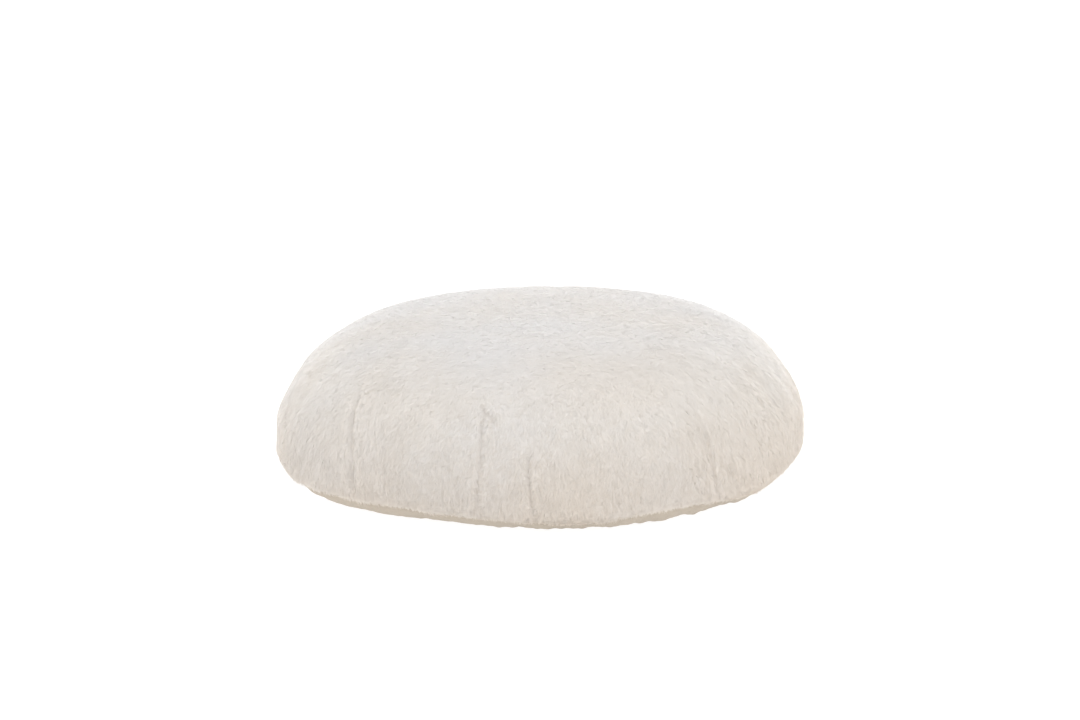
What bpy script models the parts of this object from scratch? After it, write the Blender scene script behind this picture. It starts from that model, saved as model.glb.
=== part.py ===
"""A round, domed pet cushion bed: a zipped plush cover round an inner bag of fibre filling.

Metres, +Z up. The cushion stands on Z = 0 and is turned about the Z axis. Its front faces -Y and its
zip runs round the back, at +Y. The cover is a top panel, a side band in four sections, whose rear
one is split by the zip, and a base panel. All of them follow one outline, which runs from the crown
down to the floor.
"""

import math

import bpy
from mathutils import Matrix, Vector

# The outline, over the pile
RADIUS = 0.250
CROWN_HEIGHT = 0.150
WIDEST_HEIGHT = 0.032
FOOT_RADIUS = 0.190
SIDE_FULLNESS = 3.4
CROWN_FULLNESS = 2.2
OUTLINE_STEPS = 400

# Cloths, as depths and thicknesses measured in from the outline
PLUSH_THICKNESS = 0.009
BASE_CLOTH_THICKNESS = 0.002
CASING_SIDE_DEPTH = 0.0135
CASING_CROWN_DEPTH = 0.0115
CASING_FLOOR = 0.0028
CASING_FOOT_RADIUS = 0.178
CASING_THICKNESS = 0.0012
FILL_DEPTH = 0.0024

# Seams
TOP_SEAM_HEIGHT = 0.115
BASE_SEAM_HEIGHT = 0.014
CASING_SEAM_HEIGHT = 0.046
SEAM_GAP = 0.0030
CASING_SEAM_GAP = 0.0016
THREAD_DIAMETER = 0.0016
CASING_THREAD_DIAMETER = 0.0008
THREAD_DEPTH = 0.0014
BAND_THREAD_SETBACK = 0.004

# Where the side band is joined, in degrees about +Z from +X, with the front at -90
FRONT_LEFT_JOIN = -130.0
FRONT_RIGHT_JOIN = -52.5
REAR_RIGHT_JOIN = 30.0
REAR_LEFT_JOIN = 150.0
FULL_TURN = 360.0

# The zip, in the rear of the side band. Depths are measured in from the outline
ZIP_HEIGHT = 0.052
ZIP_SLOT_WIDTH = 0.0116
TAPE_WIDTH = 0.014
TAPE_DEPTH = 0.0096
TAPE_THICKNESS = 0.0008
TAPE_PARTING = 0.0006
COIL_WIDTH = 0.0028
COIL_DEPTH = 0.007
COIL_THICKNESS = 0.0022
COIL_PARTING = 0.0003
COIL_START = 38.0
COIL_END = 142.0
STOP_INSET = 0.7
SLIDER_REST = 41.0

# The zip's slider, which is a channel over both coils, and its stops. X is out of the cover here
SLIDER_LENGTH = 0.012
SLIDER_WIDTH = 0.0086
SLIDER_FACE_DEPTH = 0.0052
SLIDER_TIP_DEPTH = 0.00925
SLIDER_GROOVE_WIDTH = 0.0066
SLIDER_GROOVE_DEPTH = 0.0066
STOP_LENGTH = 0.0024
STOP_WIDTH = 0.0080
STOP_FACE_DEPTH = 0.0056
STOP_GROOVE_DEPTH = 0.0067
BRIDGE_LENGTH = 0.0068
BRIDGE_WIDTH = 0.0016
BRIDGE_TOP_DEPTH = 0.0022
BRIDGE_EYE_LENGTH = 0.0044
BRIDGE_EYE_TOP_DEPTH = 0.0032

# The pull tab, which swings on a pin under the slider's bridge
PIN_DEPTH = 0.0042
PULL_THICKNESS = 0.0011
PULL_NECK_WIDTH = 0.0052
PULL_EYE_WIDTH = 0.0028
PULL_EYE_START = 0.00055
PULL_EYE_END = 0.0046
PULL_LENGTH = 0.020
PULL_WIDTH = 0.0072
PULL_HOLE_RADIUS = 0.0016

# The label in the base seam
LABEL_ANGLE = 118.0
LABEL_WIDTH = 0.030
LABEL_THICKNESS = 0.0012
LABEL_ROOT_DEPTH = 0.0002
LABEL_REACH = 0.010

# Facets: every turned piece has about this many to a full turn
COVER_FACETS = 64
INNER_FACETS = 48
TOP_PANEL_RINGS = 9
BAND_RINGS = 8
HALF_BAND_RINGS = 6
RIM_RINGS = 5
CASING_TOP_RINGS = 9
CASING_SIDE_RINGS = 5
TAPE_RINGS = 3
THREAD_SIDES = 6
CUTTER_OVERSHOOT = 0.002

MERGE_DISTANCE = 0.00002

# Colour, roughness and metallic value of each material
PLUSH = ("plush", (0.82, 0.78, 0.72), 0.95, 0.0)
BASE_CLOTH = ("base_cloth", (0.70, 0.65, 0.58), 0.9, 0.0)
SEWING_THREAD = ("sewing_thread", (0.74, 0.69, 0.61), 0.7, 0.0)
ZIP_TAPE = ("zip_tape", (0.76, 0.72, 0.65), 0.85, 0.0)
ZIP_COIL = ("zip_coil", (0.78, 0.74, 0.67), 0.45, 0.0)
ZIP_METAL = ("zip_metal", (0.62, 0.61, 0.59), 0.35, 1.0)
CASING_CLOTH = ("casing_cloth", (0.86, 0.85, 0.83), 0.9, 0.0)
FIBRE = ("fibre", (0.90, 0.90, 0.89), 1.0, 0.0)
LABEL_CLOTH = ("label_cloth", (0.88, 0.87, 0.84), 0.6, 0.0)

PART_COLLECTION = "pet_cushion_bed"
CUTTER_COLLECTION = "cutters"


def clear_scene():
    for obj in list(bpy.data.objects):
        bpy.data.objects.remove(obj, do_unlink=True)


def new_collection(name):
    collection = bpy.data.collections.new(name)
    bpy.context.scene.collection.children.link(collection)
    return collection


def finish_object(obj, finish):
    """Gives a part its own Principled material and puts it in the parts' collection."""
    name, colour, roughness, metallic = finish
    material = bpy.data.materials.new(f"{obj.name}_{name}")
    material.use_nodes = True
    shader = material.node_tree.nodes["Principled BSDF"]
    shader.inputs["Base Color"].default_value = (*colour, 1.0)
    shader.inputs["Roughness"].default_value = roughness
    shader.inputs["Metallic"].default_value = metallic
    material.diffuse_color = (*colour, 1.0)
    obj.data.materials.append(material)
    bpy.data.collections[PART_COLLECTION].objects.link(obj)
    return obj


def as_cutter(obj):
    obj.hide_render = True
    obj.display_type = "WIRE"
    bpy.data.collections[CUTTER_COLLECTION].objects.link(obj)
    return obj


# ---------------------------------------------------------------- outlines

class Outline:
    """A half outline from the crown, on the axis, down over the widest ring to the foot ring.

    Above the widest ring it is a superellipse, and below it a quarter of an ellipse. Points are
    (radius, height), and places along it are lengths of cloth measured from the crown.
    """

    def __init__(self, radius, crown, foot, floor):
        self.points = []
        for step in range(OUTLINE_STEPS + 1):
            angle = math.radians(90.0 * (1.0 - step / OUTLINE_STEPS))
            out = max(math.cos(angle), 0.0) ** (2.0 / SIDE_FULLNESS)
            up = max(math.sin(angle), 0.0) ** (2.0 / CROWN_FULLNESS)
            rise = crown - WIDEST_HEIGHT
            self.points.append(Vector((radius * out, WIDEST_HEIGHT + rise * up)))
        self.points[0].x = 0.0
        for step in range(1, OUTLINE_STEPS + 1):
            angle = math.radians(90.0 * step / OUTLINE_STEPS)
            out = foot + (radius - foot) * math.cos(angle)
            down = (WIDEST_HEIGHT - floor) * math.sin(angle)
            self.points.append(Vector((out, WIDEST_HEIGHT - down)))
        self.lengths = [0.0]
        for before, after in zip(self.points, self.points[1:]):
            self.lengths.append(self.lengths[-1] + (after - before).length)

    @property
    def total(self):
        return self.lengths[-1]

    def length_at_height(self, height):
        """The length of cloth from the crown down to a height."""
        for index, point in enumerate(self.points):
            if point.y <= height:
                return self.lengths[index]
        return self.total

    def point(self, length):
        length = min(max(length, 0.0), self.total)
        for index in range(1, len(self.lengths)):
            if self.lengths[index] >= length:
                break
        span = self.lengths[index] - self.lengths[index - 1]
        share = (length - self.lengths[index - 1]) / span
        return self.points[index - 1].lerp(self.points[index], share)

    def outward(self, length):
        """The unit normal that points out of the cushion."""
        reach = 0.001
        along = self.point(length + reach) - self.point(length - reach)
        return Vector((-along.y, along.x)).normalized()

    def stretch(self, start, end, rings, depth=0.0):
        """Evenly spaced points from one length to another, sunk below the outline by a depth."""
        points = []
        for ring in range(rings + 1):
            length = start + (end - start) * ring / rings
            points.append(self.point(length) - self.outward(length) * depth)
        return points


COVER = Outline(RADIUS, CROWN_HEIGHT, FOOT_RADIUS, 0.0)
CASING = Outline(RADIUS - CASING_SIDE_DEPTH, CROWN_HEIGHT - CASING_CROWN_DEPTH,
                 CASING_FOOT_RADIUS, CASING_FLOOR)

TOP_SEAM = COVER.length_at_height(TOP_SEAM_HEIGHT)
ZIP_LINE = COVER.length_at_height(ZIP_HEIGHT)
BASE_SEAM = COVER.length_at_height(BASE_SEAM_HEIGHT)
CASING_SEAM = CASING.length_at_height(CASING_SEAM_HEIGHT)


# ---------------------------------------------------------------- turned pieces

def turned(name, points, finish, facets, start=0.0, sweep=FULL_TURN, thickness=0.0, closed=False):
    """A profile of (radius, height) points turned about Z, with cloth thickness set inwards."""
    mesh = bpy.data.meshes.new(name)
    edges = [(i, i + 1) for i in range(len(points) - 1)]
    if closed:
        edges.append((len(points) - 1, 0))
    mesh.from_pydata([(p.x, 0.0, p.y) for p in points], edges, [])
    obj = bpy.data.objects.new(name, mesh)
    obj.rotation_euler.z = math.radians(start)
    screw = obj.modifiers.new("turn", "SCREW")
    screw.axis = "Z"
    screw.angle = math.radians(sweep)
    screw.steps = max(1, round(facets * sweep / FULL_TURN))
    screw.render_steps = screw.steps
    screw.use_smooth_shade = True
    screw.use_merge_vertices = sweep == FULL_TURN
    screw.merge_threshold = MERGE_DISTANCE
    if sweep == FULL_TURN and not closed:
        weld = obj.modifiers.new("weld_crown", "WELD")
        weld.merge_threshold = MERGE_DISTANCE
    if thickness > 0.0:
        solidify = obj.modifiers.new("cloth", "SOLIDIFY")
        solidify.thickness = thickness
        solidify.offset = -1.0
    return finish_object(obj, finish)


def thread_ring(name, outline, length, depth, diameter, facets):
    """A sewing thread that runs all the way round, as a ring with a six-sided section."""
    centre = outline.point(length) - outline.outward(length) * depth
    points = []
    for side in range(THREAD_SIDES):
        angle = math.radians(90.0 - FULL_TURN * side / THREAD_SIDES)
        points.append(centre + Vector((math.cos(angle), math.sin(angle))) * diameter / 2.0)
    return turned(name, points, SEWING_THREAD, facets, closed=True)


def make_top_panel():
    points = COVER.stretch(0.0, TOP_SEAM - SEAM_GAP / 2.0, TOP_PANEL_RINGS)
    turned("cover_top_panel", points, PLUSH, COVER_FACETS, thickness=PLUSH_THICKNESS)


def make_band_section(name, start, end, top, bottom, rings):
    """A piece of the side band between two joins, given in degrees, and two places down the wall."""
    half_gap = math.degrees(SEAM_GAP / 2.0 / RADIUS)
    points = COVER.stretch(top, bottom, rings)
    turned(name, points, PLUSH, COVER_FACETS, start + half_gap, end - start - 2.0 * half_gap,
           PLUSH_THICKNESS)


def make_side_band():
    top = TOP_SEAM + SEAM_GAP / 2.0
    bottom = BASE_SEAM - SEAM_GAP / 2.0
    make_band_section("side_band_front", FRONT_LEFT_JOIN, FRONT_RIGHT_JOIN, top, bottom, BAND_RINGS)
    make_band_section("side_band_right", FRONT_RIGHT_JOIN, REAR_RIGHT_JOIN, top, bottom, BAND_RINGS)
    make_band_section("side_band_left", REAR_LEFT_JOIN, FRONT_LEFT_JOIN + FULL_TURN, top, bottom,
                      BAND_RINGS)
    make_band_section("side_band_rear_upper", REAR_RIGHT_JOIN, REAR_LEFT_JOIN, top,
                      ZIP_LINE - ZIP_SLOT_WIDTH / 2.0, HALF_BAND_RINGS)
    make_band_section("side_band_rear_lower", REAR_RIGHT_JOIN, REAR_LEFT_JOIN,
                      ZIP_LINE + ZIP_SLOT_WIDTH / 2.0, bottom, HALF_BAND_RINGS)


def make_base_panel():
    """The base cloth: a flat disc whose rim turns up to the base seam."""
    points = COVER.stretch(BASE_SEAM + SEAM_GAP / 2.0, COVER.total, RIM_RINGS)
    points[-1] = Vector((FOOT_RADIUS, 0.0))
    points.append(Vector((FOOT_RADIUS / 2.0, 0.0)))
    points.append(Vector((0.0, 0.0)))
    turned("cover_base_panel", points, BASE_CLOTH, COVER_FACETS, thickness=BASE_CLOTH_THICKNESS)


def make_ring_seams():
    thread_ring("top_seam_thread", COVER, TOP_SEAM, THREAD_DEPTH, THREAD_DIAMETER, COVER_FACETS)
    thread_ring("base_seam_thread", COVER, BASE_SEAM, THREAD_DEPTH, THREAD_DIAMETER, COVER_FACETS)
    thread_ring("casing_seam_thread", CASING, CASING_SEAM, CASING_THICKNESS / 2.0,
                CASING_THREAD_DIAMETER, INNER_FACETS)


def make_band_seam_thread(name, angle):
    """The thread down one join of the side band, as a thin round tube."""
    start = TOP_SEAM + BAND_THREAD_SETBACK
    end = BASE_SEAM - BAND_THREAD_SETBACK
    points = COVER.stretch(start, end, BAND_RINGS, THREAD_DEPTH)
    curve = bpy.data.curves.new(name, "CURVE")
    curve.dimensions = "3D"
    curve.bevel_depth = THREAD_DIAMETER / 2.0
    curve.bevel_resolution = 1
    curve.use_fill_caps = True
    spline = curve.splines.new("POLY")
    spline.points.add(len(points) - 1)
    for target, point in zip(spline.points, points):
        target.co = (point.x, 0.0, point.y, 1.0)
    obj = bpy.data.objects.new(name, curve)
    obj.rotation_euler.z = math.radians(angle)
    finish_object(obj, SEWING_THREAD)


def make_inner_pad():
    """The woven bag, in two shells that meet at its own seam, and the fibre that fills it."""
    seam_above = CASING_SEAM - CASING_SEAM_GAP / 2.0
    seam_below = CASING_SEAM + CASING_SEAM_GAP / 2.0
    top = CASING.stretch(0.0, seam_above, CASING_TOP_RINGS)
    turned("inner_casing_top", top, CASING_CLOTH, INNER_FACETS, thickness=CASING_THICKNESS)
    side = CASING.stretch(seam_below, CASING.total, CASING_SIDE_RINGS)
    side[-1] = Vector((CASING_FOOT_RADIUS, CASING_FLOOR))
    side.append(Vector((0.0, CASING_FLOOR)))
    turned("inner_casing_base", side, CASING_CLOTH, INNER_FACETS, thickness=CASING_THICKNESS)
    fill = CASING.stretch(0.0, seam_above, CASING_TOP_RINGS, FILL_DEPTH)
    fill[0].x = 0.0
    fill += CASING.stretch(seam_below, CASING.total, CASING_SIDE_RINGS, FILL_DEPTH)
    fill[-1] = Vector((CASING_FOOT_RADIUS, CASING_FLOOR + FILL_DEPTH))
    fill.append(Vector((0.0, CASING_FLOOR + FILL_DEPTH)))
    turned("fibre_fill", fill, FIBRE, INNER_FACETS)


# ---------------------------------------------------------------- zip

def zip_strip(name, finish, near, far, depth, thickness, start, end, rings):
    """A strip that runs along the zip. near and far are places down the wall from the zip's line."""
    first, last = sorted((ZIP_LINE + near, ZIP_LINE + far))
    points = COVER.stretch(first, last, rings, depth)
    turned(name, points, finish, COVER_FACETS, start, end - start, thickness)


def make_zip_tapes_and_coils():
    half_gap = math.degrees(SEAM_GAP / 2.0 / RADIUS)
    start = REAR_RIGHT_JOIN + half_gap
    end = REAR_LEFT_JOIN - half_gap
    for side, name in ((-1.0, "upper"), (1.0, "lower")):
        zip_strip(f"zip_tape_{name}", ZIP_TAPE, side * TAPE_PARTING / 2.0, side * TAPE_WIDTH,
                  TAPE_DEPTH, TAPE_THICKNESS, start, end, TAPE_RINGS)
        near = side * COIL_PARTING / 2.0
        zip_strip(f"zip_coil_{name}", ZIP_COIL, near, near + side * COIL_WIDTH,
                  COIL_DEPTH, COIL_THICKNESS, COIL_START, COIL_END, 1)


def zip_face():
    """The frame of the zip's face where it crosses +X: X is out of the cover and Y along the zip."""
    place = COVER.point(ZIP_LINE)
    outward = COVER.outward(ZIP_LINE)
    tilt = -math.atan2(outward.y, outward.x)
    return Matrix.Translation((place.x, 0.0, place.y)) @ Matrix.Rotation(tilt, 4, "Y")


def block(name, low, high):
    """A box between two corners, from a primitive cube."""
    low = Vector(low)
    high = Vector(high)
    bpy.ops.mesh.primitive_cube_add(size=1.0)
    obj = bpy.context.object
    obj.name = name
    obj.data.name = name
    size = Matrix.Diagonal((*(high - low), 1.0))
    obj.data.transform(Matrix.Translation((low + high) / 2.0) @ size)
    for collection in list(obj.users_collection):
        collection.objects.unlink(obj)
    return obj


def combine(obj, other, operation):
    boolean = obj.modifiers.new(operation.lower(), "BOOLEAN")
    boolean.operation = operation
    boolean.solver = "EXACT"
    boolean.object = as_cutter(other)
    other.parent = obj


def soften(obj, width):
    bevel = obj.modifiers.new("soften", "BEVEL")
    bevel.width = width
    bevel.segments = 1
    bevel.limit_method = "ANGLE"


def channel(name, length, width, face_depth, groove_depth):
    """A U-shaped channel that rides over both coils, with its open side inwards."""
    obj = block(name, (-SLIDER_TIP_DEPTH, -length / 2.0, -width / 2.0),
                (-face_depth, length / 2.0, width / 2.0))
    half_groove = SLIDER_GROOVE_WIDTH / 2.0
    groove = block(f"{name}_groove",
                   (-SLIDER_TIP_DEPTH - CUTTER_OVERSHOOT, -length, -half_groove),
                   (-groove_depth, length, half_groove))
    combine(obj, groove, "DIFFERENCE")
    return obj


def make_zip_stops():
    for name, angle in (("zip_stop_closed_end", COIL_START + STOP_INSET),
                        ("zip_stop_open_end", COIL_END - STOP_INSET)):
        obj = channel(name, STOP_LENGTH, STOP_WIDTH, STOP_FACE_DEPTH, STOP_GROOVE_DEPTH)
        obj.matrix_world = Matrix.Rotation(math.radians(angle), 4, "Z") @ zip_face()
        finish_object(obj, ZIP_METAL)


def make_slider(pivot):
    """The slider: a channel over the coils, with a bridge on its face that holds the pull tab."""
    obj = channel("zip_slider", SLIDER_LENGTH, SLIDER_WIDTH, SLIDER_FACE_DEPTH,
                  SLIDER_GROOVE_DEPTH)
    overlap = (SLIDER_GROOVE_DEPTH - SLIDER_FACE_DEPTH) / 2.0
    bridge = block("zip_slider_bridge",
                   (-SLIDER_FACE_DEPTH - overlap, -BRIDGE_LENGTH / 2.0, -BRIDGE_WIDTH / 2.0),
                   (-BRIDGE_TOP_DEPTH, BRIDGE_LENGTH / 2.0, BRIDGE_WIDTH / 2.0))
    eye = block("zip_slider_bridge_eye",
                (-SLIDER_FACE_DEPTH, -BRIDGE_EYE_LENGTH / 2.0, -BRIDGE_WIDTH),
                (-BRIDGE_EYE_TOP_DEPTH, BRIDGE_EYE_LENGTH / 2.0, BRIDGE_WIDTH))
    combine(obj, bridge, "UNION")
    combine(obj, eye, "DIFFERENCE")
    obj.parent = pivot
    obj.matrix_local = zip_face()
    finish_object(obj, ZIP_METAL)
    return obj


def make_pull_tab(slider_pivot):
    """The pull tab, with its pin on the pull's joint axis. It lies along the zip at rest."""
    pin_axis = bpy.data.objects.new("pull_pivot", None)
    bpy.data.collections[PART_COLLECTION].objects.link(pin_axis)
    pin_axis.parent = slider_pivot
    pin_axis.matrix_local = zip_face() @ Matrix.Translation((-PIN_DEPTH, 0.0, 0.0))
    half = PULL_THICKNESS / 2.0
    neck = PULL_NECK_WIDTH / 2.0
    obj = block("zip_pull_tab", (-half, -half, -neck), (half, PULL_EYE_END + half, neck))
    eye = block("zip_pull_eye", (-PULL_THICKNESS, PULL_EYE_START, -PULL_EYE_WIDTH / 2.0),
                (PULL_THICKNESS, PULL_EYE_END, PULL_EYE_WIDTH / 2.0))
    blade = block("zip_pull_blade", (-half, PULL_EYE_END, -PULL_WIDTH / 2.0),
                  (half, PULL_LENGTH, PULL_WIDTH / 2.0))
    combine(obj, eye, "DIFFERENCE")
    combine(obj, blade, "UNION")
    bpy.ops.mesh.primitive_cylinder_add(vertices=16, radius=PULL_HOLE_RADIUS,
                                        depth=PULL_THICKNESS * 4.0)
    hole = bpy.context.object
    hole.name = "zip_pull_hole"
    hole.data.transform(Matrix.Translation((0.0, PULL_LENGTH - PULL_WIDTH / 2.0, 0.0))
                        @ Matrix.Rotation(math.radians(90.0), 4, "Y"))
    for collection in list(hole.users_collection):
        collection.objects.unlink(hole)
    combine(obj, hole, "DIFFERENCE")
    obj.parent = pin_axis
    finish_object(obj, ZIP_METAL)


def make_zip_slider_and_pull():
    """The slider's joint axis is the Z axis, so its pivot stands at the origin."""
    pivot = bpy.data.objects.new("slider_pivot", None)
    bpy.data.collections[PART_COLLECTION].objects.link(pivot)
    pivot.rotation_euler.z = math.radians(SLIDER_REST)
    make_slider(pivot)
    make_pull_tab(pivot)


def make_care_label():
    """A blank folded label that stands out of the base seam at the back."""
    place = COVER.point(BASE_SEAM)
    outward = COVER.outward(BASE_SEAM)
    tilt = -math.atan2(outward.y, outward.x)
    obj = block("care_label", (-LABEL_ROOT_DEPTH, -LABEL_WIDTH / 2.0, -LABEL_THICKNESS / 2.0),
                (LABEL_REACH, LABEL_WIDTH / 2.0, LABEL_THICKNESS / 2.0))
    obj.matrix_world = (Matrix.Rotation(math.radians(LABEL_ANGLE), 4, "Z")
                        @ Matrix.Translation((place.x, 0.0, place.y))
                        @ Matrix.Rotation(tilt, 4, "Y"))
    soften(obj, LABEL_THICKNESS / 4.0)
    finish_object(obj, LABEL_CLOTH)


def main():
    clear_scene()
    new_collection(PART_COLLECTION)
    new_collection(CUTTER_COLLECTION)
    make_top_panel()
    make_side_band()
    make_base_panel()
    make_ring_seams()
    for name, angle in (("band_seam_thread_front_left", FRONT_LEFT_JOIN),
                        ("band_seam_thread_front_right", FRONT_RIGHT_JOIN),
                        ("band_seam_thread_rear_right", REAR_RIGHT_JOIN),
                        ("band_seam_thread_rear_left", REAR_LEFT_JOIN)):
        make_band_seam_thread(name, angle)
    make_inner_pad()
    make_zip_tapes_and_coils()
    make_zip_stops()
    make_zip_slider_and_pull()
    make_care_label()


main()
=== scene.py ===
"""The looks of the pet cushion bed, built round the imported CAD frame.

Every soft piece is worked out from two numbers: an angle about +Z and a length of cloth from the
crown, down the same outline that part.py turns. The plush cover is a knitted backing with real
strands of pile standing on it. Metres; the front faces -Y.
"""

import math

import bpy
import numpy as np
from mathutils import Matrix, Vector, noise


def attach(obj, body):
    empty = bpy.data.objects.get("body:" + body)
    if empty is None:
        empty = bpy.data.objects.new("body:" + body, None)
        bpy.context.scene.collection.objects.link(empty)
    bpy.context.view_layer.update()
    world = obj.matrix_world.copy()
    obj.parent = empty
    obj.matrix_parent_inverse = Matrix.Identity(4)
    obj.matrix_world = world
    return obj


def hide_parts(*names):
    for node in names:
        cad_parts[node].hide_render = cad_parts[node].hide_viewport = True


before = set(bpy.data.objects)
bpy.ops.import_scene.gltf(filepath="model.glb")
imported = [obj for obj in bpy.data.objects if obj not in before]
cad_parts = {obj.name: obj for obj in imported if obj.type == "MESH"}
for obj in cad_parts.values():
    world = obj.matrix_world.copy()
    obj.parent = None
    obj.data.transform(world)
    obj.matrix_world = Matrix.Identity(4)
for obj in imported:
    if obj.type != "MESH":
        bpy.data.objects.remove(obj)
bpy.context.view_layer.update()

# ---- sizes that part.py uses too

RADIUS = 0.250
CROWN_HEIGHT = 0.150
WIDEST_HEIGHT = 0.032
FOOT_RADIUS = 0.190
SIDE_FULLNESS = 3.4
CROWN_FULLNESS = 2.2
CASING_SIDE_DEPTH = 0.0135
CASING_CROWN_DEPTH = 0.0115
CASING_FLOOR = 0.0028
CASING_FOOT_RADIUS = 0.178
FILL_DEPTH = 0.0024
TOP_SEAM_HEIGHT = 0.115
BASE_SEAM_HEIGHT = 0.014
CASING_SEAM_HEIGHT = 0.046
ZIP_HEIGHT = 0.052
ZIP_SLOT_WIDTH = 0.0116
TAPE_WIDTH = 0.014
TAPE_DEPTH = 0.0096
TAPE_THICKNESS = 0.0008
COIL_DEPTH = 0.0081
COIL_START = math.radians(38.0)
COIL_END = math.radians(142.0)
FRONT_LEFT_JOIN = math.radians(-130.0)
FRONT_RIGHT_JOIN = math.radians(-52.5)
REAR_RIGHT_JOIN = math.radians(30.0)
REAR_LEFT_JOIN = math.radians(150.0)
LABEL_ANGLE = math.radians(118.0)
LABEL_WIDTH = 0.030
LABEL_REACH = 0.0098
FULL_TURN = 2.0 * math.pi
FRONT = math.radians(-90.0)

# Cloth and pile
SKIN_DEPTH = 0.0022
SKIN_THICKNESS = 0.0011
DEEPEST_SIDE = 0.0120
DEEPEST_CROWN = 0.0100
SEAM_DIP = 0.0010
CLUMP_SPACING = 0.0023
STRANDS_PER_CLUMP = 12
STRAND_LENGTH = 0.0079
STRAND_WIDTH = 0.00064

# The grid that the cover's pieces are read from
COLUMNS = 720
ROWS = 200

MM = 0.001


# ---- small helpers

def turned_from(angle, middle):
    """How far an angle is from the middle one, at most half a turn either way."""
    return (angle - middle + math.pi) % FULL_TURN - math.pi


def smooth_step(value, low, high):
    share = np.clip((value - low) / (high - low), 0.0, 1.0)
    return share * share * (3.0 - 2.0 * share)


def fall(value, low, high):
    return 1.0 - smooth_step(value, low, high)


def hump(value, middle, width):
    return np.exp(-0.5 * ((value - middle) / width) ** 2)


def unit(vectors):
    return vectors / np.maximum(np.linalg.norm(vectors, axis=-1, keepdims=True), 1e-12)


def noise_at(points, scale, offset):
    """Smooth noise from -1 to 1 at an array of points; scale is in features per metre."""
    shape = points.shape[:-1]
    flat = (points.reshape(-1, 3) * scale + offset).tolist()
    return np.array([noise.noise(p) for p in flat]).reshape(shape)


def catmull_rom(values, places, wraps):
    """Values at fractional indices along the first axis."""
    count = len(values)
    index = np.floor(places).astype(int)
    share = (places - index).reshape((-1,) + (1,) * (values.ndim - 1))
    total = 0.0
    weights = (((-share + 2.0) * share - 1.0) * share / 2.0,
               ((3.0 * share - 5.0) * share * share + 2.0) / 2.0,
               ((-3.0 * share + 4.0) * share + 1.0) * share / 2.0,
               (share - 1.0) * share * share / 2.0)
    for step, weight in zip((-1, 0, 1, 2), weights):
        near = index + step
        near = near % count if wraps else np.clip(near, 0, count - 1)
        total = total + values[near] * weight
    return total


def turned(out, angle, up):
    """Points or directions with a reach outwards at an angle about +Z, and a height."""
    return np.stack(np.broadcast_arrays(out * np.cos(angle), out * np.sin(angle), up), -1)


class Outline:
    """The half outline that part.py turns, from the crown to the foot ring and on to the centre."""

    def __init__(self, radius, crown, foot, floor, steps=1600):
        angle = np.linspace(math.pi / 2.0, 0.0, steps)
        out = radius * np.maximum(np.cos(angle), 0.0) ** (2.0 / SIDE_FULLNESS)
        up = WIDEST_HEIGHT + (crown - WIDEST_HEIGHT) * np.maximum(np.sin(angle), 0.0) ** (
            2.0 / CROWN_FULLNESS)
        out[0] = 0.0
        turn = np.linspace(0.0, math.pi / 2.0, steps)[1:]
        out = np.append(out, foot + (radius - foot) * np.cos(turn))
        up = np.append(up, WIDEST_HEIGHT - (WIDEST_HEIGHT - floor) * np.sin(turn))
        out, up = np.append(out, 0.0), np.append(up, floor)
        self.out, self.up = out, up
        self.lengths = np.append(0.0, np.cumsum(np.hypot(np.diff(out), np.diff(up))))
        self.foot, self.total = self.lengths[-2], self.lengths[-1]
        even = np.linspace(0.0, self.total, 4 * steps)
        slope_out = np.gradient(np.interp(even, self.lengths, out), even)
        slope_up = np.gradient(np.interp(even, self.lengths, up), even)
        size = np.hypot(slope_out, slope_up)
        self.even, self.normal_out, self.normal_up = even, -slope_up / size, slope_out / size

    def length_at_height(self, height):
        return float(np.interp(-height, -self.up[:-1], self.lengths[:-1]))

    def height(self, length):
        return np.interp(length, self.lengths, self.up)

    def radius(self, length):
        return np.interp(length, self.lengths, self.out)

    def place(self, angle, length, depth=0.0):
        """Points at angles and lengths, sunk below the outline by a depth."""
        out = self.radius(length) - depth * np.interp(length, self.even, self.normal_out)
        up = self.height(length) - depth * np.interp(length, self.even, self.normal_up)
        return turned(np.maximum(out, 0.0), angle, up)

    def outward(self, angle, length):
        return turned(np.interp(length, self.even, self.normal_out), angle,
                      np.interp(length, self.even, self.normal_up))


COVER = Outline(RADIUS, CROWN_HEIGHT, FOOT_RADIUS, 0.0)
CASING = Outline(RADIUS - CASING_SIDE_DEPTH, CROWN_HEIGHT - CASING_CROWN_DEPTH,
                 CASING_FOOT_RADIUS, CASING_FLOOR)
TOP_SEAM = COVER.length_at_height(TOP_SEAM_HEIGHT)
ZIP_LINE = COVER.length_at_height(ZIP_HEIGHT)
BASE_SEAM = COVER.length_at_height(BASE_SEAM_HEIGHT)
CASING_SEAM = CASING.length_at_height(CASING_SEAM_HEIGHT)


# ---- how this cushion sits

def from_front(angle):
    """Degrees from the front, with plus to the right as the photograph sees it."""
    return (np.degrees(angle - FRONT) + 180.0) % 360.0 - 180.0


def slouch(points):
    """Moves points as the filling has settled: the foot swells at the right of the front and draws
    in a little at the left."""
    side = from_front(np.arctan2(points[..., 1], points[..., 0]))
    height = points[..., 2]
    low = fall(height, 0.0, 0.075)
    push = low * (0.010 * hump(side, 22.0, 18.0) - 0.005 * hump(side, -24.0, 12.0)
                  + 0.009 * hump(side, 49.0, 8.0) + 0.009 * hump(side, -56.0, 13.0))
    reach = np.hypot(points[..., 0], points[..., 1])
    inner = smooth_step(reach, 0.10, 0.18)
    scale = 1.0 + push * inner / np.maximum(reach, 0.05)
    moved = points.copy()
    moved[..., 0] *= scale
    moved[..., 1] *= scale
    return moved


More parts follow.
